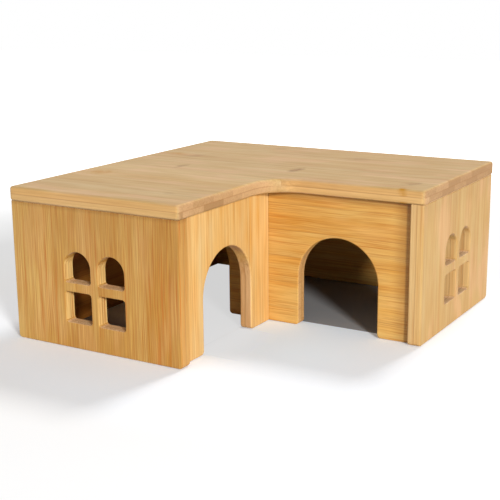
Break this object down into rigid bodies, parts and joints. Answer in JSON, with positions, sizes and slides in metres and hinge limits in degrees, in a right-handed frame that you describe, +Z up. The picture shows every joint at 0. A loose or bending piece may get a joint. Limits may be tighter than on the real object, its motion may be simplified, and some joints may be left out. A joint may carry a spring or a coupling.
{
  "type": "wooden hamster house",
  "caption": "L-shaped floorless hide for a hamster, of laminated bamboo: arched doors, four-pane windows, a room divider and a flat roof that lifts off locating pins.",
  "frame": {"origin": "middle of the 280 x 280 mm footprint square, on the plane that the walls stand on", "axes": "+Z up; +X towards the end wall of the right leg; -Y towards the end wall of the left leg, so both doors look into the notch of the L at +X, -Y"},
  "size_m": [0.28, 0.28, 0.118],
  "materials": {
    "bamboo_wall": "laminated bamboo, 21 mm strips in two plies, sanded and clear-oiled, faint satin",
    "bamboo_roof": "laminated bamboo, 26 mm strips in two plies, sanded and clear-oiled, faint satin",
    "beech_pin": "turned beech pin, bare",
    "beech_dowel": "beech dowel, glued in"
  },
  "bodies": {
    "house": {"left_end_wall": "bamboo_wall", "right_end_wall": "bamboo_wall", "inner_side_wall": "bamboo_wall", "front_partition_wall": "bamboo_wall", "left_side_wall": "bamboo_wall", "rear_wall": "bamboo_wall", "dowels_left_end_to_left_side": "beech_dowel", "dowels_left_end_to_inner_side": "beech_dowel", "dowels_front_to_inner_side": "beech_dowel", "dowels_left_side_to_front": "beech_dowel", "dowels_right_end_to_front": "beech_dowel", "dowels_right_end_to_rear": "beech_dowel", "dowels_rear_to_left_side": "beech_dowel"},
    "roof": {"roof_board": "bamboo_roof", "roof_locating_pins": "beech_pin"}
  },
  "joints": [
    {"name": "roof_lift", "type": "slide", "parent": "house", "child": "roof", "axis": [0, 0, 1], "range_m": [0, 0.08]}
  ]
}
